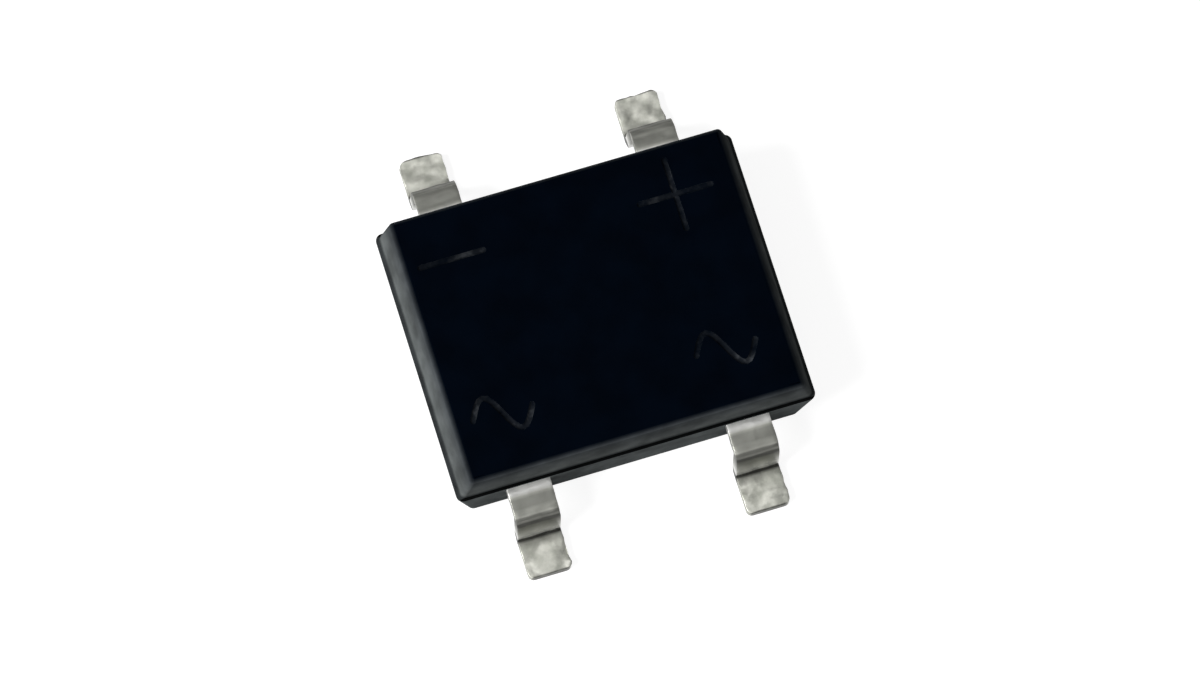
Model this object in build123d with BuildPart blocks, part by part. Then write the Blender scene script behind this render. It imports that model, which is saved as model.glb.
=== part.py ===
"""Surface-mount bridge rectifier in a moulded four-lead package. Millimetres, +Z up.

X runs along the body and Y across it, towards the positive and negative leads. The origin is the
middle of the seating plane, on which the four feet stand. Inside, four diode chips are soldered
between two levels of leadframe: the alternating-current paddles below, the output bars above.
"""
from build123d import *
from math import atan2, tan
import os

# Moulded body, at its parting plane
body_length = 8.30
body_width = 6.40
upper_height = 1.08
lower_height = 1.32
standoff = 0.10
corner_radius = 0.16

# Draft of the sides, and what the mould leaves on them
upper_end_inset = 0.31
upper_side_inset = 0.09
lower_end_inset = 0.30
lower_side_inset = 0.10
rim_width = 0.055
rim_height = 0.06
top_edge_radius = 0.15
bottom_edge_radius = 0.08
ejector_diameter = 1.40
ejector_spacing = 4.60
ejector_depth = 0.04

# Leads outside the body
sheet = 0.25
lead_width = 1.00
lead_pitch = 5.08
straight_exit = 0.12
shoulder_length = 0.695
shoulder_droop = 0.08
leg_run = 0.11
foot_length = 1.02
bend_radius = 0.07

# Leads inside the body
root_length = 0.44
root_notch_radius = 0.12
joggle_run = 0.30
head_depth = 0.26
arm_width = 0.74
frame_gap = 0.30
plate_margin = 0.05
plate_corner_radius = 0.08

# Chips, and what joins them to the leads
chip_size = 1.20
chip_thickness = 0.25
chip_spacing = 2.70
mesa_chamfer = 0.10
solder_thickness = 0.05
solder_margin = 0.06
solder_corner_radius = 0.08
dimple_diameter = 0.86
dimple_height = 0.10
dimple_wall = 0.16

# Levels, from the seating plane up
parting_z = standoff + lower_height
top_z = parting_z + upper_height
lead_z = parting_z - sheet / 2
plate_gap = chip_thickness + 2 * solder_thickness + dimple_height
joggle_rise = (plate_gap + sheet) / 2
paddle_z = lead_z - joggle_rise
bar_z = lead_z + joggle_rise
paddle_top_z = paddle_z + sheet / 2
bar_bottom_z = bar_z - sheet / 2

# Places across the body, worked out from its wall
wall_y = body_width / 2
shoulder_y = wall_y + shoulder_length
leg_foot_y = shoulder_y + leg_run
tip_y = leg_foot_y + foot_length
bend_centre_radius = bend_radius + sheet / 2
joggle_outer_y = wall_y - root_length
joggle_inner_y = joggle_outer_y - joggle_run
plate_edge_y = joggle_inner_y - bend_centre_radius * tan(atan2(joggle_rise, joggle_run) / 2)
head_y = plate_edge_y - head_depth
plate_width = chip_size + 2 * plate_margin
row_outer_y = head_y - frame_gap
row_inner_y = row_outer_y - plate_width
row_y = row_outer_y - plate_width / 2

# Places along the body
lead_x = lead_pitch / 2
strip_inner_x = lead_x - lead_width / 2
strip_outer_x = lead_x + lead_width / 2
chip_x = chip_spacing / 2
plate_inner_x = chip_x - plate_width / 2
plate_outer_x = chip_x + plate_width / 2
arm_inner_x = plate_outer_x + frame_gap
arm_outer_x = arm_inner_x + arm_width


def rectangle_between(x0, x1, y0, y1):
    """A rectangle in the current sketch, given by its two pairs of sides."""
    with Locations(((x0 + x1) / 2, (y0 + y1) / 2)):
        Rectangle(abs(x1 - x0), abs(y1 - y0))


def formed_strip(x, outward, plate_z, inner_y):
    """The bent strip of one lead, from its plate at height plate_z out to the tip of its foot.

    The course is the middle of the sheet. It starts inner_y from the middle of the body, and
    outward is +1 or -1 along Y.
    """
    with BuildPart() as strip:
        with BuildLine(Plane(origin=(x, 0, 0), x_dir=(0, outward, 0), z_dir=(outward, 0, 0))) as course:
            FilletPolyline(
                (inner_y, plate_z),
                (joggle_inner_y, plate_z),
                (joggle_outer_y, lead_z),
                (wall_y + straight_exit, lead_z),
                (shoulder_y, lead_z - shoulder_droop),
                (leg_foot_y, sheet / 2),
                (tip_y, sheet / 2),
                radius=bend_centre_radius,
            )
        with BuildSketch(Plane(origin=course.line @ 0, x_dir=(1, 0, 0), z_dir=course.line % 0)):
            Rectangle(lead_width, sheet)
        sweep()
        # Half-round notches in both edges of the root, where the resin keys in
        with BuildSketch(Plane.XY.offset(lead_z)):
            with Locations((x, outward * (wall_y - root_length / 2))):
                with GridLocations(lead_width, 0, 2, 1):
                    Circle(root_notch_radius)
        extrude(amount=sheet, both=True, mode=Mode.SUBTRACT)
    return strip.part


def coin_dimples(places, near_z, push):
    """Bosses coined in a plate at the given places, each hollow on the plate's other side.

    The boss stands on the face at near_z, and push is its height, signed along Z.
    """
    far_z = near_z - sheet if push > 0 else near_z + sheet
    with BuildSketch(Plane.XY.offset(near_z)) as bosses:
        with Locations(*places):
            Circle(dimple_diameter / 2)
    extrude(bosses.sketch, amount=push)
    with BuildSketch(Plane.XY.offset(far_z)) as hollows:
        with Locations(*places):
            Circle(dimple_diameter / 2 - dimple_wall)
    extrude(hollows.sketch, amount=push, mode=Mode.SUBTRACT)


def rectifier_chip(x, y, bottom_z, mesa_up):
    """A square chip whose junction side is a mesa with sloped, glassed edges."""
    with BuildPart() as chip:
        with BuildSketch(Plane.XY.offset(bottom_z)):
            with Locations((x, y)):
                Rectangle(chip_size, chip_size)
        extrude(amount=chip_thickness)
        mesa = chip.faces().sort_by(Axis.Z)[-1 if mesa_up else 0]
        chamfer(mesa.edges(), length=mesa_chamfer)
    return chip.part


def solder_joint(x, y, bottom_z, on_mesa):
    """The thin layer of solder on one side of a chip: round on the mesa, square on the base."""
    base_side = chip_size - 2 * solder_margin
    with BuildPart() as joint:
        with BuildSketch(Plane.XY.offset(bottom_z)):
            with Locations((x, y)):
                if on_mesa:
                    Circle(dimple_diameter / 2)
                else:
                    RectangleRounded(base_side, base_side, solder_corner_radius)
        extrude(amount=solder_thickness)
    return joint.part


# Positive lead: its bar lies on both chips of the north row
positive_strip = formed_strip(lead_x, 1, bar_z, row_y)
with BuildPart() as lead_positive:
    with BuildSketch(Plane.XY.offset(bar_bottom_z)) as positive_bar:
        rectangle_between(-plate_outer_x, strip_outer_x, row_inner_y, row_outer_y)
        fillet(positive_bar.vertices(), radius=plate_corner_radius)
    extrude(amount=sheet)
    add(positive_strip)

# Negative lead: its arm goes round the end of the positive bar to both chips of the south row
negative_strip = formed_strip(-lead_x, 1, bar_z, head_y)
with BuildPart() as lead_negative:
    with BuildSketch(Plane.XY.offset(bar_bottom_z)) as negative_bar:
        rectangle_between(-arm_outer_x, plate_outer_x, -row_outer_y, -row_inner_y)
        rectangle_between(-arm_outer_x, -arm_inner_x, -row_outer_y, plate_edge_y)
        rectangle_between(-arm_outer_x, -strip_inner_x, head_y, plate_edge_y)
        fillet(negative_bar.vertices(), radius=plate_corner_radius)
    extrude(amount=sheet)
    add(negative_strip)
    coin_dimples([(-chip_x, -row_y), (chip_x, -row_y)], bar_bottom_z, -dimple_height)

# Alternating-current leads: each paddle carries one chip of either row
ac_strip = formed_strip(lead_x, -1, paddle_z, head_y)
with BuildPart() as lead_ac_right:
    with BuildSketch(Plane.XY.offset(paddle_top_z - sheet)) as paddle:
        rectangle_between(plate_inner_x, plate_outer_x, -plate_edge_y, row_outer_y)
        rectangle_between(plate_inner_x, strip_outer_x, -plate_edge_y, -head_y)
        fillet(paddle.vertices(), radius=plate_corner_radius)
    extrude(amount=sheet)
    add(ac_strip)
    coin_dimples([(chip_x, row_y)], paddle_top_z, dimple_height)

with BuildPart() as lead_ac_left:
    mirror(lead_ac_right.part, about=Plane.YZ)

leads = {
    "lead_positive": lead_positive.part,
    "lead_negative": lead_negative.part,
    "lead_ac_left": lead_ac_left.part,
    "lead_ac_right": lead_ac_right.part,
}

# Chips with their two solder joints. On the north row the mesa faces down to the paddle's dimple,
# and on the south row up to the negative bar's.
inner_pieces = {}
chip_places = [(-chip_x, row_y), (chip_x, row_y), (-chip_x, -row_y), (chip_x, -row_y)]
for number, (x, y) in enumerate(chip_places, start=1):
    mesa_up = y < 0
    lower_joint_z = paddle_top_z if mesa_up else paddle_top_z + dimple_height
    chip_z = lower_joint_z + solder_thickness
    upper_joint_z = chip_z + chip_thickness
    inner_pieces[f"diode_chip_{number}"] = rectifier_chip(x, y, chip_z, mesa_up)
    inner_pieces[f"solder_{number}_lower"] = solder_joint(x, y, lower_joint_z, on_mesa=not mesa_up)
    inner_pieces[f"solder_{number}_upper"] = solder_joint(x, y, upper_joint_z, on_mesa=mesa_up)

# Moulded body: two drafted halves, cast round everything inside. A thin rim, square to the parting
# plane, runs round the foot of the upper half and over the roots of the leads.
with BuildPart() as epoxy_moulding:
    with BuildSketch(Plane.XY.offset(parting_z + rim_height)):
        RectangleRounded(body_length - 2 * rim_width, body_width - 2 * rim_width, corner_radius)
    with BuildSketch(Plane.XY.offset(top_z)):
        RectangleRounded(body_length - 2 * upper_end_inset, body_width - 2 * upper_side_inset, corner_radius)
    loft(ruled=True)
    fillet(epoxy_moulding.faces().sort_by(Axis.Z)[-1].edges(), radius=top_edge_radius)

    with BuildSketch(Plane.XY.offset(parting_z)) as outline:
        RectangleRounded(body_length, body_width, corner_radius)
    extrude(amount=rim_height)

    add(outline.sketch)
    with BuildSketch(Plane.XY.offset(standoff)):
        RectangleRounded(body_length - 2 * lower_end_inset, body_width - 2 * lower_side_inset, corner_radius)
    loft(ruled=True)
    fillet(epoxy_moulding.faces().sort_by(Axis.Z)[0].edges(), radius=bottom_edge_radius)

    # Shallow marks that the mould's two ejector pins leave underneath
    with BuildSketch(Plane.XY.offset(standoff)):
        with GridLocations(ejector_spacing, 0, 2, 1):
            Circle(ejector_diameter / 2)
    extrude(amount=ejector_depth, mode=Mode.SUBTRACT)

    for piece in [*leads.values(), *inner_pieces.values()]:
        add(piece, mode=Mode.SUBTRACT)

os.makedirs("parts", exist_ok=True)
for name, piece in {"epoxy_moulding": epoxy_moulding.part, **leads, **inner_pieces}.items():
    piece.label = name
    export_step(piece, f"parts/{name}.step")
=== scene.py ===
"""Looks of the surface-mount bridge rectifier, in metres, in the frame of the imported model."""
from math import atan2, copysign, cos, pi, radians, sin, tan

import bpy
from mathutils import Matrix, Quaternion, Vector


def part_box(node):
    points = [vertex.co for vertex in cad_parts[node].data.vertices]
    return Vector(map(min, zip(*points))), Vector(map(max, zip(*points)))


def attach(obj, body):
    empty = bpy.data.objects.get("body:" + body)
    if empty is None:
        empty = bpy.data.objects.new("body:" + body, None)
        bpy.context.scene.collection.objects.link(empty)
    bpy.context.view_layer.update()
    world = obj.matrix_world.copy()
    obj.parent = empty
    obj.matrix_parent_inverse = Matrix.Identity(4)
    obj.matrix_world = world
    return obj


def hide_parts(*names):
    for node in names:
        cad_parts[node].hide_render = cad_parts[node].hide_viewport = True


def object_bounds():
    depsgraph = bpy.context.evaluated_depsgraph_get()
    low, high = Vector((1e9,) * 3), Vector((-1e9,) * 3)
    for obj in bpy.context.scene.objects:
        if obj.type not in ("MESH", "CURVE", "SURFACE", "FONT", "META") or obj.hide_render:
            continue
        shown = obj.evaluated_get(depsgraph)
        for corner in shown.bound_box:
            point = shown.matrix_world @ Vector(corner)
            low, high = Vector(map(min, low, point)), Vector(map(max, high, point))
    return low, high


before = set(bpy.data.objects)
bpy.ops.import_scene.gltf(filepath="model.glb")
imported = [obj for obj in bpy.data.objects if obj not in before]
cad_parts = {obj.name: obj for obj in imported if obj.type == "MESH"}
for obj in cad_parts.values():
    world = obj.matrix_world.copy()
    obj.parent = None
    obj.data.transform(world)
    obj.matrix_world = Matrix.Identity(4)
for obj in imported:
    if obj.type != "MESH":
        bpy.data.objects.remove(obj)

cad_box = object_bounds()
millimetre = 0.001


# Moulded body. Black epoxy resin is pressed hot into a two-part steel mould, round the soldered
# leadframe. The mould leaves drafted sides, a thin rim along its parting plane, polarity signs sunk
# into the top and two ejector marks underneath. It is drawn in millimetres, then brought to metres.
low, high = (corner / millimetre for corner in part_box("epoxy_moulding"))
body_length = high.x - low.x
body_width = high.y - low.y
parting_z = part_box("lead_ac_left")[1].z / millimetre
top_end_inset = 0.31
top_side_inset = 0.09
bottom_end_inset = 0.30
bottom_side_inset = 0.10
rim_width = 0.055
rim_height = 0.06
corner_radius = 0.16
top_edge_radius = 0.15
bottom_edge_radius = 0.08
setback_per_radius = 0.8
ejector_radius = 0.70
ejector_spacing = 4.60
ejector_depth = 0.04

# How close two lengths count as one, two corners are joined, and a face looks along an axis
tolerance = 0.001
merge_distance = 0.0001
facing_share = 0.9


def select_only(piece):
    """Selects this piece and nothing else, and makes it the active one."""
    bpy.ops.object.select_all(action="DESELECT")
    piece.select_set(True)
    bpy.context.view_layer.objects.active = piece


def start_editing(piece):
    """Opens the mesh of this piece, with nothing selected in it."""
    select_only(piece)
    bpy.ops.object.mode_set(mode="EDIT")
    bpy.ops.mesh.select_all(action="DESELECT")


def select_faces(piece, wanted):
    """Selects the faces whose centre and normal pass the test, and nothing else."""
    bpy.ops.mesh.select_all(action="DESELECT")
    bpy.ops.object.mode_set(mode="OBJECT")
    for face in piece.data.polygons:
        face.select = wanted(face.center, face.normal)
    bpy.ops.object.mode_set(mode="EDIT")
    bpy.ops.mesh.select_mode(type="FACE")


def select_edges(piece, wanted):
    """Selects the edges whose two ends pass the test, and nothing else."""
    bpy.ops.mesh.select_all(action="DESELECT")
    bpy.ops.mesh.select_mode(type="EDGE")
    bpy.ops.object.mode_set(mode="OBJECT")
    points = [vertex.co for vertex in piece.data.vertices]
    for edge in piece.data.edges:
        edge.select = wanted(points[edge.vertices[0]], points[edge.vertices[1]])
    bpy.ops.object.mode_set(mode="EDIT")


def apply_modifier(piece, kind, **settings):
    """Adds a modifier with these settings to this piece, and applies it."""
    bpy.context.view_layer.objects.active = piece
    modifier = piece.modifiers.new(kind, kind)
    for name, value in settings.items():
        setattr(modifier, name, value)
    bpy.ops.object.modifier_apply(modifier=modifier.name)


def set_scale(piece, factor):
    """Makes the mesh of this piece larger or smaller about the origin."""
    select_only(piece)
    piece.scale = (factor, factor, factor)
    bpy.ops.object.transform_apply(location=True, rotation=True, scale=True)


def merge_corners(piece):
    """Joins the corners of this piece that lie in one place, and leaves its mesh open and selected."""
    start_editing(piece)
    bpy.ops.mesh.select_all(action="SELECT")
    bpy.ops.mesh.remove_doubles(threshold=merge_distance)


def merged_copy(node):
    """A copy of a node's mesh in millimetres, its corners joined and its flat faces made whole."""
    piece = bpy.data.objects.new(f"{node}_copy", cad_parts[node].data.copy())
    bpy.context.collection.objects.link(piece)
    set_scale(piece, 1 / millimetre)
    merge_corners(piece)
    bpy.ops.mesh.dissolve_limited(angle_limit=radians(1))
    bpy.ops.object.mode_set(mode="OBJECT")
    return piece


def near(a, b):
    """Whether two lengths in millimetres are the same, but for rounding."""
    return abs(a - b) < tolerance


def smooth_below(piece, angle):
    """Shades this piece smooth, but for the edges that turn by more than this angle."""
    start_editing(piece)
    bpy.ops.mesh.select_mode(type="EDGE")
    bpy.ops.mesh.edges_select_sharp(sharpness=angle)
    bpy.ops.mesh.mark_sharp()
    bpy.ops.object.mode_set(mode="OBJECT")
    bpy.ops.object.shade_smooth(keep_sharp_edges=True)


bpy.ops.mesh.primitive_cube_add(
    size=1,
    location=(0, 0, parting_z + rim_height / 2),
    scale=(body_length, body_width, rim_height),
)
package = bpy.context.object
package.name = "moulded_body"
bpy.ops.object.transform_apply(location=True, rotation=True, scale=True)

start_editing(package)
select_edges(package, lambda a, b: not near(a.z, b.z))
bpy.ops.mesh.bevel(offset=corner_radius, segments=8)
select_faces(package, lambda centre, normal: normal.z > facing_share)
bpy.ops.mesh.inset(thickness=rim_width)
bpy.ops.mesh.extrude_region_move(TRANSFORM_OT_translate={"value": (0, 0, high.z - parting_z - rim_height)})
bpy.ops.transform.resize(
    value=(
        (body_length - 2 * top_end_inset) / (body_length - 2 * rim_width),
        (body_width - 2 * top_side_inset) / (body_width - 2 * rim_width),
        1,
    )
)
select_faces(package, lambda centre, normal: normal.z < -facing_share)
bpy.ops.mesh.extrude_region_move(TRANSFORM_OT_translate={"value": (0, 0, low.z - parting_z)})
bpy.ops.transform.resize(
    value=(1 - 2 * bottom_end_inset / body_length, 1 - 2 * bottom_side_inset / body_width, 1)
)
for edge_z, edge_radius in ((high.z, top_edge_radius), (low.z, bottom_edge_radius)):
    select_edges(package, lambda a, b: near(a.z, edge_z) and near(b.z, edge_z))
    bpy.ops.mesh.bevel(offset=edge_radius * setback_per_radius, segments=6)

# Small faces all over, so that every cut ends in a simple outline
cell_size = 0.43
for direction, half in (((1, 0, 0), body_length / 2), ((0, 1, 0), body_width / 2)):
    for step in range(-int(half / cell_size), int(half / cell_size) + 1):
        bpy.ops.mesh.select_all(action="SELECT")
        bpy.ops.mesh.bisect(plane_co=Vector(direction) * step * cell_size, plane_no=direction)
bpy.ops.object.mode_set(mode="OBJECT")

# Polarity signs, sunk into the top over the lead they belong to: plus, minus and two waves
sign_depth = 0.035
sign_stroke = 0.13
sign_row_y = 1.91
wave_row_y = -1.77
plus_x = 2.42
plus_size = 1.65
minus_x = -2.75
minus_length = 1.45
wave_left_x = -2.71
wave_right_x = 2.43
wave_length = 1.36
wave_height = 0.44
cutter_radius = (sign_stroke ** 2 / 4 + sign_depth ** 2) / (2 * sign_depth)
cutter_z = high.z - sign_depth + cutter_radius


def sunk_stroke(points):
    """A round bar with ball ends along these points of the top face, which cuts one stroke."""
    curve = bpy.data.curves.new("stroke", "CURVE")
    curve.dimensions = "3D"
    curve.bevel_depth = cutter_radius
    curve.bevel_resolution = 14
    curve.use_fill_caps = True
    spline = curve.splines.new("POLY")
    spline.points.add(len(points) - 1)
    for point, (x, y) in zip(spline.points, points):
        point.co = (x, y, cutter_z, 1)
    bar = bpy.data.objects.new("stroke", curve)
    bpy.context.collection.objects.link(bar)
    select_only(bar)
    bpy.ops.object.convert(target="MESH")
    merge_corners(bar)
    bpy.ops.object.mode_set(mode="OBJECT")
    balls = []
    for x, y in (points[0], points[-1]):
        bpy.ops.mesh.primitive_uv_sphere_add(
            segments=32, ring_count=24, radius=cutter_radius, location=(x, y, cutter_z)
        )
        bpy.ops.object.transform_apply(location=True, rotation=True, scale=True)
        balls.append(bpy.context.object)
    return [bar, *balls]


def wave_points(middle_x):
    """One full wave along X, in its row on the top face."""
    steps = 16
    return [
        (
            middle_x + (step / steps - 0.5) * wave_length,
            wave_row_y + wave_height * sin(2 * pi * step / steps),
        )
        for step in range(steps + 1)
    ]


signs = [
    *sunk_stroke([(plus_x, sign_row_y - plus_size / 2), (plus_x, sign_row_y + plus_size / 2)]),
    *sunk_stroke([(plus_x - plus_size / 2, sign_row_y), (plus_x + plus_size / 2, sign_row_y)]),
    *sunk_stroke([(minus_x - minus_length / 2, sign_row_y), (minus_x + minus_length / 2, sign_row_y)]),
    *sunk_stroke(wave_points(wave_left_x)),
    *sunk_stroke(wave_points(wave_right_x)),
]
for piece in signs[1:]:
    apply_modifier(signs[0], "BOOLEAN", object=piece, operation="UNION", solver="MANIFOLD")
    bpy.data.objects.remove(piece)

cutters = signs[:1]
for side in (-1, 1):
    bpy.ops.mesh.primitive_cylinder_add(
        vertices=64,
        radius=ejector_radius,
        depth=2 * ejector_depth,
        location=(side * ejector_spacing / 2, 0, low.z),
    )
    bpy.ops.object.transform_apply(location=True, rotation=True, scale=True)
    cutters.append(bpy.context.object)

# The hollows that the leadframe, chips and solder fill
cutters += [merged_copy(node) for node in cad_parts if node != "epoxy_moulding"]

for cutter in cutters:
    apply_modifier(package, "BOOLEAN", object=cutter, operation="DIFFERENCE", solver="MANIFOLD")
    bpy.data.objects.remove(cutter)
smooth_below(package, angle=radians(18))
apply_modifier(package, "WEIGHTED_NORMAL", weight=100, keep_sharp=True)
set_scale(package, millimetre)

# Tones of the resin from the underside up, with painted reflection on the walls and painted shade at the
# ledge and top edge, and of the signs, with painted highlights
lower_side_tone = (0.180, 0.198, 0.200)
ledge_shade_tone = (0.046, 0.052, 0.054)
above_ledge_shade_tone = (0.050, 0.056, 0.058)
wall_foot_tone = (0.158, 0.172, 0.172)
wall_head_tone = (0.132, 0.144, 0.146)
top_edge_shade_tone = (0.066, 0.074, 0.082)
top_tone = (0.0006, 0.0020, 0.0050)
rim_shade_tone = (0.001, 0.001, 0.001)
dark_sign_tone = (0.0025, 0.0040, 0.0070)
dull_sign_tone = (0.0100, 0.0120, 0.0155)
sign_glint_tone = (0.0420, 0.0460, 0.0520)
rim_shade_strength = 0.92
rim_shade_reach = rim_width + 0.006
sign_end_clearance = 0.6
sign_side_clearance = 0.4
top_sheen = 0.004


def new_material(name):
    """A node material, with its tree, its Principled shader and the Object coordinates."""
    material = bpy.data.materials.new(name)
    material.use_nodes = True
    tree = material.node_tree
    coordinates = tree.nodes.new("ShaderNodeTexCoord")
    return material, tree, tree.nodes["Principled BSDF"], coordinates.outputs["Object"]


def feed(tree, given, socket):
    """Gives a socket another node's result, a colour or a number."""
    if isinstance(given, bpy.types.NodeSocket):
        tree.links.new(given, socket)
    elif isinstance(given, tuple):
        socket.default_value = (*given, 1)
    else:
        socket.default_value = given


def calculate(tree, operation, *inputs):
    """The result of one step of arithmetic on results or numbers."""
    node = tree.nodes.new("ShaderNodeMath")
    node.operation = operation
    for given, socket in zip(inputs, node.inputs):
        feed(tree, given, socket)
    return node.outputs[0]


def blend(tree, share, under, over, kind="MIX"):
    """One colour laid over another with this share."""
    node = tree.nodes.new("ShaderNodeMixRGB")
    node.blend_type = kind
    feed(tree, share, node.inputs["Fac"])
    feed(tree, under, node.inputs["Color1"])
    feed(tree, over, node.inputs["Color2"])
    return node.outputs["Color"]


def coordinates_of(tree, vector):
    """The X, Y and Z of a vector, by their names."""
    node = tree.nodes.new("ShaderNodeSeparateXYZ")
    feed(tree, vector, node.inputs["Vector"])
    return node.outputs


def share_between(tree, value, start, end):
    """How far a value has come from start to end: 0 up to start, and 1 from end on."""
    node = tree.nodes.new("ShaderNodeMapRange")
    feed(tree, value, node.inputs["Value"])
    feed(tree, start, node.inputs["From Min"])
    feed(tree, end, node.inputs["From Max"])
    return node.outputs["Result"]


def noise(tree, place, size, detail=2, roughness=0.5):
    """Noise whose blobs are about this size across, in metres."""
    node = tree.nodes.new("ShaderNodeTexNoise")
    feed(tree, place, node.inputs["Vector"])
    feed(tree, 1 / size, node.inputs["Scale"])
    feed(tree, detail, node.inputs["Detail"])
    feed(tree, roughness, node.inputs["Roughness"])
    return node.outputs["Fac"]


def ramp(tree, factor, *stops):
    """Colours or greys at these positions of a factor."""
    node = tree.nodes.new("ShaderNodeValToRGB")
    while len(node.color_ramp.elements) < len(stops):
        node.color_ramp.elements.new(0.5)
    for element, (position, colour) in zip(node.color_ramp.elements, stops):
        element.position = position
        grey = isinstance(colour, float)
        element.color = (colour, colour, colour, 1) if grey else (*colour, 1)
    feed(tree, factor, node.inputs["Fac"])
    return node.outputs["Color"]


def bump(tree, height, distance, strength, under=None):
    """The normal of a surface with these bumps, which may lie over others."""
    node = tree.nodes.new("ShaderNodeBump")
    feed(tree, height, node.inputs["Height"])
    feed(tree, distance, node.inputs["Distance"])
    feed(tree, strength, node.inputs["Strength"])
    if under is not None:
        feed(tree, under, node.inputs["Normal"])
    return node.outputs["Normal"]


def black_epoxy():
    """Resin filled with fine glass beads: deep black on top; greyer at the sides and below, partly its
    matt finish and partly painted reflection, with painted shade at the rim and over the top edge.
    """
    material, tree, shader, place = new_material("black_epoxy")
    at = coordinates_of(tree, place)
    level = share_between(tree, at["Z"], low.z * millimetre, high.z * millimetre)
    rim_top = (parting_z + rim_height - low.z) / (high.z - low.z)
    # Painted light by height: walls lighter towards their foot as painted reflection, dark at the ledge
    # and over the top edge as painted shade; the greyer sides are partly their matt finish
    side_tone_with_painted_light = ramp(
        tree,
        level,
        (rim_top - 0.012, lower_side_tone),
        (rim_top - 0.002, ledge_shade_tone),
        (rim_top + 0.030, above_ledge_shade_tone),
        (rim_top + 0.085, wall_foot_tone),
        (0.80, wall_head_tone),
        (1.00, top_edge_shade_tone),
    )

    # Painted shade: a dark line along the top of the rim, on the two long sides
    off_middle = calculate(tree, "ABSOLUTE", at["Y"])
    half_width = body_width / 2 * millimetre
    long_side = calculate(tree, "COMPARE", off_middle, half_width, rim_shade_reach * millimetre)
    rim_shade = ramp(
        tree,
        level,
        (rim_top - 0.006, 0.0),
        (rim_top - 0.002, rim_shade_strength),
        (rim_top + 0.012, rim_shade_strength),
        (rim_top + 0.022, 0.0),
    )
    lined = blend(tree, calculate(tree, "MULTIPLY", long_side, rim_shade), side_tone_with_painted_light, rim_shade_tone)
    patch = noise(tree, place, 0.5 * millimetre, detail=4)
    patchy = blend(tree, 1, lined, ramp(tree, patch, (0.38, 0.77), (0.62, 1.0)), "MULTIPLY")

    # The polish of the top face, which fades over its rounded edge
    geometry = tree.nodes.new("ShaderNodeNewGeometry")
    upward = coordinates_of(tree, geometry.outputs["Normal"])["Z"]
    polish = calculate(
        tree,
        "MULTIPLY",
        ramp(tree, upward, (0.40, 0.0), (0.98, 1.0)),
        ramp(tree, level, (0.88, 0.0), (0.94, 1.0)),
    )
    body_tone = blend(tree, polish, patchy, top_tone)

    # The strokes of the signs, which lie just under the top face, away from its edges
    middle_z = (high.z - tolerance - sign_depth / 2) * millimetre
    sunk = calculate(tree, "COMPARE", at["Z"], middle_z, sign_depth / 2 * millimetre)
    end_x = (body_length / 2 - sign_end_clearance) * millimetre
    side_y = (body_width / 2 - sign_side_clearance) * millimetre
    for axis, edge in (("X", end_x), ("Y", side_y)):
        inside = calculate(tree, "LESS_THAN", calculate(tree, "ABSOLUTE", at[axis]), edge)
        sunk = calculate(tree, "MULTIPLY", sunk, inside)
    painted_light_pattern = noise(tree, place, 0.43 * millimetre, detail=3, roughness=0.6)
    # Strokes dull, with random lighter patches that are painted highlights
    sign_tone = ramp(tree, painted_light_pattern, (0.38, dark_sign_tone), (0.56, dull_sign_tone), (0.70, sign_glint_tone))
    marked = blend(tree, sunk, body_tone, sign_tone)

    cloud = noise(tree, place, 0.8 * millimetre, detail=4)
    clouded = blend(tree, 1, marked, ramp(tree, cloud, (0.35, 0.68), (0.65, 1.0)), "MULTIPLY")
    feed(tree, clouded, shader.inputs["Base Color"])
    feed(tree, ramp(tree, patch, (0.3, 0.28), (0.7, 0.36)), shader.inputs["Roughness"])
    feed(tree, calculate(tree, "MULTIPLY", polish, top_sheen), shader.inputs["Specular IOR Level"])
    grain = noise(tree, place, 0.03 * millimetre)
    feed(tree, bump(tree, grain, 0.002 * millimetre, 0.5), shader.inputs["Normal"])
    return material


def dress(piece, material):
    """Gives a piece this material and no other."""
    piece.data.materials.clear()
    piece.data.materials.append(material)


dress(package, black_epoxy())
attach(package, "root")
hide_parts("epoxy_moulding")


# Leads. A copper alloy strip is stamped, plated with tin, bent down outside the body and cut off at
# the tip, which leaves rounded sheared edges and a bare, slightly ragged cut. Inside the body each
# lead ends in the plate that its chips are soldered to. They too are drawn in millimetres.
sheet = 0.25
lead_pitch = 5.08
join_depth = 0.075
straight_exit = 0.12
shoulder_length = 0.695
shoulder_droop = 0.08
leg_reach = 0.11
inner_bend_radius = 0.07
bend_step = radians(7)
edge_rounding = 0.065
tip_rounding = 0.13

lead_z = parting_z - sheet / 2
wall_y = body_width / 2
join_y = wall_y - join_depth
droop_start_y = wall_y + straight_exit
shoulder_y = wall_y + shoulder_length
leg_foot_y = shoulder_y + leg_reach
tip_y = cad_box[1].y / millimetre
bend_radius = inner_bend_radius + sheet / 2

# The course of the strip's middle, across the body and up, and how long its outer stretches are
course = [
    Vector((join_y, lead_z)),
    Vector((droop_start_y, lead_z)),
    Vector((shoulder_y, lead_z - shoulder_droop)),
    Vector((leg_foot_y, sheet / 2)),
    Vector((tip_y, sheet / 2)),
]
shoulder_run = (course[2] - Vector((wall_y, lead_z))).length
leg_run = (course[3] - course[2]).length
course_run = shoulder_run + leg_run + (course[4] - course[3]).length

# Unevenness: its strength and grain, the cuts that let the strip follow it, and where it fades out
dent_strength = 0.085
dent_size = 0.28
cut_spacing_along = 0.095
cut_spacing_across = 0.1
cuts_beside_middle = 4
wall_clearance = 0.04
wall_fade = 0.1
sole_clearance = 0.01
sole_fade = 0.05
upper_dent_share = 0.3


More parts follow.
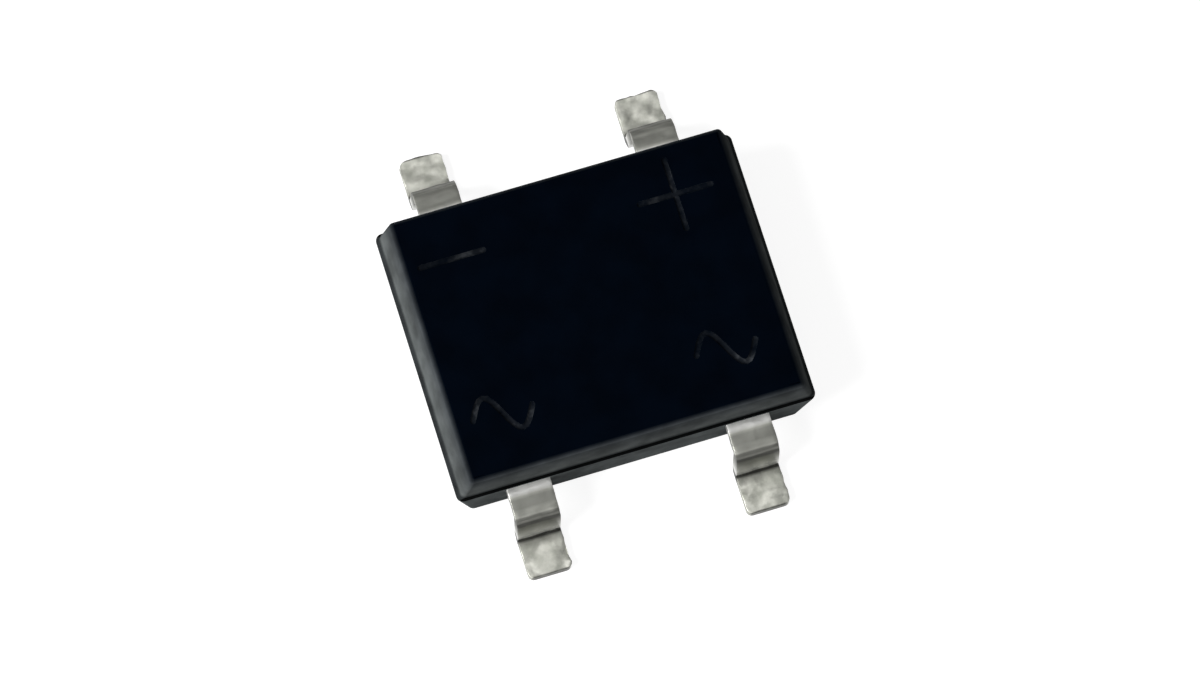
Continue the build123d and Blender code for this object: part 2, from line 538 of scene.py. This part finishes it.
def make_uneven(lead, side):
    """Dents the outer part of the lead a little, all but its sole."""
    start_editing(lead)
    for step in range(1, int((tip_y - wall_y) / cut_spacing_along) + 1):
        cut_y = side * (wall_y + step * cut_spacing_along)
        bpy.ops.mesh.select_all(action="SELECT")
        bpy.ops.mesh.bisect(plane_co=(0, cut_y, 0), plane_no=(0, 1, 0))
    tip = max(lead.data.vertices, key=lambda vertex: abs(vertex.co.y))
    middle_x = copysign(lead_pitch / 2, tip.co.x)
    for step in range(-cuts_beside_middle, cuts_beside_middle + 1):
        select_faces(lead, lambda centre, normal: abs(centre.y) > wall_y)
        bpy.ops.mesh.bisect(plane_co=(middle_x + step * cut_spacing_across, 0, 0), plane_no=(1, 0, 0))
    bpy.ops.object.mode_set(mode="OBJECT")
    outer = lead.vertex_groups.new(name="outer")
    for vertex in lead.data.vertices:
        off_wall = (abs(vertex.co.y) - wall_y - wall_clearance) / wall_fade
        off_sole = (vertex.co.z - sole_clearance) / sole_fade
        most = 1 if abs(vertex.co.y) > leg_foot_y + sheet else upper_dent_share
        outer.add([vertex.index], min(most, max(0, min(off_wall, off_sole))), "REPLACE")
    dents = bpy.data.textures.new(f"{lead.name}_dents", "CLOUDS")
    dents.noise_scale = dent_size
    dents.noise_depth = 1
    apply_modifier(
        lead,
        "DISPLACE",
        texture=dents,
        texture_coords="LOCAL",
        strength=dent_strength,
        mid_level=0.5,
        vertex_group="outer",
    )
    lead.vertex_groups.clear()


def mark_course(lead):
    """Stores on each corner of the mesh how far along the course it lies, from the body's wall."""
    ends = [Vector((wall_y, lead_z)), *course[2:]]
    lengths = []
    for vertex in lead.data.vertices:
        point = Vector((abs(vertex.co.y), vertex.co.z)) / millimetre
        nearest, travelled = (float("inf"), 0), 0
        for start, end in zip(ends, ends[1:]):
            run = end - start
            share = min(1, max(0, (point - start).dot(run) / run.length_squared))
            nearest = min(nearest, ((point - start - run * share).length, travelled + share * run.length))
            travelled += run.length
        lengths.append(nearest[1])
    lead.data.attributes.new("course", "FLOAT", "POINT").data.foreach_set("value", lengths)


def gull_wing(node, side):
    """The lead as packed inside the body, and formed anew from the body's wall to the tip."""
    lead = merged_copy(node)
    lead.name = f"{node}_formed"
    start_editing(lead)
    bpy.ops.mesh.select_all(action="SELECT")
    bpy.ops.mesh.bisect(
        plane_co=(0, side * join_y, 0), plane_no=(0, side, 0), use_fill=True, clear_outer=True
    )
    select_faces(
        lead,
        lambda centre, normal: near(centre.y, side * join_y) and side * normal.y > facing_share,
    )
    point = course[0]
    for before, middle, after in zip(course, course[1:], course[2:]):
        run_in, run_out = (middle - before).normalized(), (after - middle).normalized()
        turn = atan2(run_in.x * run_out.y - run_in.y * run_out.x, run_in.dot(run_out))
        setback = bend_radius * tan(abs(turn) / 2)
        start = middle - run_in * setback
        step = start - point
        bpy.ops.mesh.extrude_region_move(
            TRANSFORM_OT_translate={"value": (0, side * step.x, step.y)}
        )
        swing = 1 if turn > 0 else -1
        centre = start + Vector((-run_in.y, run_in.x)) * bend_radius * swing
        bpy.ops.mesh.spin(
            steps=max(3, round(abs(turn) / bend_step)),
            angle=-turn * side,
            center=(0, side * centre.x, centre.y),
            axis=(1, 0, 0),
        )
        point = middle + run_out * setback
    step = course[-1] - point
    bpy.ops.mesh.extrude_region_move(TRANSFORM_OT_translate={"value": (0, side * step.x, step.y)})
    select_edges(lead, lambda a, b: near(abs(a.y), tip_y) and near(a.y, b.y) and near(a.x, b.x))
    bpy.ops.mesh.bevel(offset=tip_rounding, segments=4)
    bpy.ops.object.mode_set(mode="OBJECT")
    apply_modifier(
        lead, "BEVEL", width=edge_rounding, segments=4, limit_method="ANGLE", angle_limit=radians(50)
    )
    make_uneven(lead, side)
    smooth_below(lead, angle=radians(35))
    set_scale(lead, millimetre)
    mark_course(lead)
    return lead


# Tones of the tin: its grain, the even stretch down to the foot, and a near-white for painted highlight
# and painted reflection
dull_tin = (0.48, 0.49, 0.43)
pale_tin = (0.76, 0.76, 0.69)
even_tin = (0.64, 0.645, 0.59)
highlight_tin = (0.97, 0.97, 0.94)


def tinned_copper():
    """Matt tin, mottled by its grain, with painted shade along the bends and painted highlights at the
    root and down the leg, dark where the tip was cut.
    """
    material, tree, shader, place = new_material("tinned_copper")
    mottle = noise(tree, place, 0.30 * millimetre, detail=4, roughness=0.55)
    tone = ramp(tree, mottle, (0.32, dull_tin), (0.68, pale_tin))
    bend_at = shoulder_run / course_run
    crease_at = (shoulder_run + leg_run) / course_run
    along = tree.nodes.new("ShaderNodeAttribute")
    along.attribute_name = "course"
    share = share_between(tree, along.outputs["Fac"], 0, course_run)

    # Painted shade from the body's wall to the tip: pale root, duller shoulder, dark bands at the bend and
    # the crease, pale foot, and the dark cut of the bare tip
    painted_light_pattern = ramp(
        tree,
        share,
        (0.07, 1.0),
        (0.10, 0.58),
        (0.17, 0.52),
        (bend_at - 0.04, 0.80),
        (bend_at - 0.012, 0.95),
        (bend_at, 0.38),
        (bend_at + 0.012, 0.13),
        (bend_at + 0.035, 0.13),
        (bend_at + 0.075, 0.34),
        (crease_at - 0.12, 1.0),
        (crease_at - 0.07, 1.0),
        (crease_at - 0.055, 0.12),
        (crease_at + 0.050, 0.08),
        (crease_at + 0.075, 0.55),
        (crease_at + 0.14, 0.93),
        (0.988, 0.93),
        (0.998, 0.25),
    )

    # Painted highlight at the root and painted reflection down the leg, and free of mottling above the
    # foot
    painted_highlight = ramp(
        tree,
        share,
        (0.05, 1.0),
        (0.08, 0.0),
        (bend_at + 0.12, 0.0),
        (crease_at - 0.12, 1.0),
        (crease_at - 0.07, 1.0),
        (crease_at - 0.05, 0.0),
    )
    above_foot = ramp(tree, share, (crease_at - 0.02, 0.7), (crease_at + 0.04, 0.0))
    calm = blend(tree, above_foot, tone, even_tin)
    brighter = blend(tree, painted_highlight, calm, highlight_tin)
    feed(tree, blend(tree, 1, brighter, painted_light_pattern, "MULTIPLY"), shader.inputs["Base Color"])
    feed(tree, 1, shader.inputs["Metallic"])
    feed(tree, ramp(tree, mottle, (0.3, 0.48), (0.7, 0.32)), shader.inputs["Roughness"])
    grain = noise(tree, place, 0.025 * millimetre, detail=3)
    dents = noise(tree, place, 0.26 * millimetre)
    coarse = bump(tree, dents, 0.016 * millimetre, 0.4)
    feed(tree, bump(tree, grain, 0.002 * millimetre, 0.5, under=coarse), shader.inputs["Normal"])
    return material


tin = tinned_copper()
lead_sides = {"lead_positive": 1, "lead_negative": 1, "lead_ac_left": -1, "lead_ac_right": -1}
for node, side in lead_sides.items():
    lead = gull_wing(node, side)
    dress(lead, tin)
    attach(lead, "root")
    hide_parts(node)


# Chips. Each is a square of sawn silicon with a mesa on one side, whose sloped edges are glassed.
# They lie sealed between the plates of the leads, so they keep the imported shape.
dark_silicon = (0.030, 0.034, 0.045)
pale_silicon = (0.055, 0.060, 0.075)


def glassed_silicon():
    """Dark grey, a little cloudy, and shinier where it is darker."""
    material, tree, shader, place = new_material("glassed_silicon")
    cloud = noise(tree, place, 0.3 * millimetre, detail=3)
    feed(tree, ramp(tree, cloud, (0.3, dark_silicon), (0.7, pale_silicon)), shader.inputs["Base Color"])
    feed(tree, ramp(tree, cloud, (0.3, 0.22), (0.7, 0.34)), shader.inputs["Roughness"])
    return material


silicon = glassed_silicon()
for number in range(1, 5):
    dress(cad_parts[f"diode_chip_{number}"], silicon)


# Solder joints. A thin layer of tin and lead, melted between each chip and the plates next to it.
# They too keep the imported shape.
dark_solder = (0.42, 0.42, 0.41)
pale_solder = (0.58, 0.58, 0.56)


def reflowed_solder():
    """Dull grey metal, frosted by the way it set."""
    material, tree, shader, place = new_material("reflowed_solder")
    cloud = noise(tree, place, 0.12 * millimetre, detail=4)
    feed(tree, ramp(tree, cloud, (0.3, dark_solder), (0.7, pale_solder)), shader.inputs["Base Color"])
    feed(tree, 1, shader.inputs["Metallic"])
    feed(tree, ramp(tree, cloud, (0.3, 0.30), (0.7, 0.45)), shader.inputs["Roughness"])
    return material


solder = reflowed_solder()
for number in range(1, 5):
    for level in ("lower", "upper"):
        dress(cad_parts[f"solder_{number}_{level}"], solder)


# Table top: a plain sheet under the part, far wider than it. Its own colour is a middling grey, so
# that it throws little light onto the dark sides. The camera sees it white, and what shines sees it
# partly so.
table_size = 400 * millimetre
table_tone = (0.30, 0.30, 0.30)
table_glow = 0.88
mirrored_glow = 0.57


def light_rays(tree):
    """Whether the camera sees this ray, straight or through something clear; whether it is mirrored."""
    rays = tree.nodes.new("ShaderNodeLightPath").outputs
    seen = calculate(tree, "MAXIMUM", rays["Is Camera Ray"], rays["Is Transmission Ray"])
    return seen, rays["Is Glossy Ray"]


def white_sheet():
    """Matt paper, which glows for the camera and, less, for what mirrors it."""
    material, tree, shader, _ = new_material("white_sheet")
    seen, mirrored = light_rays(tree)
    lifted = calculate(tree, "MAXIMUM", seen, calculate(tree, "MULTIPLY", mirrored, mirrored_glow))
    feed(tree, table_tone, shader.inputs["Base Color"])
    feed(tree, 0.9, shader.inputs["Roughness"])
    feed(tree, 0.1, shader.inputs["Specular IOR Level"])
    feed(tree, (1, 1, 1), shader.inputs["Emission Color"])
    feed(tree, calculate(tree, "MULTIPLY", lifted, table_glow), shader.inputs["Emission Strength"])
    return material


bpy.ops.mesh.primitive_plane_add(size=table_size, location=(0, 0, 0))
table_top = bpy.context.object
table_top.name = "table_top"
dress(table_top, white_sheet())


# Studio light: a wide soft box high on the left, weak ones overhead and in front, and a dim room
# that is brightest in front and on the left. What shines mirrors a brighter room, most of all on
# its left side.
aim = (low + high) / 2 * millimetre


def soft_box(name, place, size, power):
    """A square lamp at this place, turned towards the part."""
    lamp = bpy.data.lights.new(name, "AREA")
    lamp.shape = "SQUARE"
    lamp.size = size
    lamp.energy = power
    light = bpy.data.objects.new(name, lamp)
    bpy.context.collection.objects.link(light)
    light.location = place
    light.rotation_mode = "QUATERNION"
    light.rotation_quaternion = (Vector(place) - aim).to_track_quat("Z", "Y")


soft_box("key_light", place=(-0.19, -0.02, 0.19), size=0.12, power=0.80)
soft_box("top_light", place=(0.028, 0.062, 0.24), size=0.09, power=0.045)
soft_box("front_light", place=(-0.03, -0.20, 0.13), size=0.10, power=0.03)

room = bpy.data.worlds.new("room")
bpy.context.scene.world = room
room.use_nodes = True
room_tree = room.node_tree
room_place = room_tree.nodes.new("ShaderNodeTexCoord").outputs["Generated"]


def wall_tones(brightest_way, *stops):
    """Greys of the room's walls, from the side away from this direction to the side it points to."""
    product = room_tree.nodes.new("ShaderNodeVectorMath")
    product.operation = "DOT_PRODUCT"
    product.inputs[1].default_value = brightest_way
    feed(room_tree, room_place, product.inputs[0])
    return ramp(room_tree, share_between(room_tree, product.outputs["Value"], -1, 1), *stops)


walls = wall_tones(
    (-0.55, -0.72, 0.42),
    (0.0, 0.005),
    (0.35, 0.015),
    (0.60, 0.16),
    (0.90, 0.34),
)
mirrored_walls = wall_tones(
    (-0.85, -0.30, 0.42),
    (0.10, 0.04),
    (0.35, 0.12),
    (0.50, 0.18),
    (0.75, 0.22),
    (0.90, 0.70),
    (1.00, 0.90),
)
seen, mirrored = light_rays(room_tree)
all_walls = blend(room_tree, mirrored, walls, mirrored_walls)
backdrop = blend(room_tree, seen, all_walls, (1, 1, 1))
feed(room_tree, backdrop, room_tree.nodes["Background"].inputs["Color"])
bpy.context.scene.view_settings.view_transform = "Standard"


# Camera: far off and nearly overhead, a little to the front left, turned so that the part lies
# askew. Its lens suits an image of 1200 by 675 pixels.
sight = Vector((-0.03, -0.47, 1.40)) * millimetre
distance = 148.2 * millimetre
azimuth = radians(-24.0)
from_upright = radians(15.7)
roll = radians(6.92)

back = Vector((sin(from_upright) * sin(azimuth), -sin(from_upright) * cos(azimuth), cos(from_upright)))
camera_data = bpy.data.cameras.new("camera")
camera_data.sensor_width = 36
camera_data.lens = 200.5
camera_data.clip_start = 0.01
camera_data.clip_end = 10
camera = bpy.data.objects.new("camera", camera_data)
bpy.context.collection.objects.link(camera)
camera.location = sight + back * distance
camera.rotation_mode = "QUATERNION"
camera.rotation_quaternion = Quaternion(back, roll) @ back.to_track_quat("Z", "Y")
bpy.context.scene.camera = camera
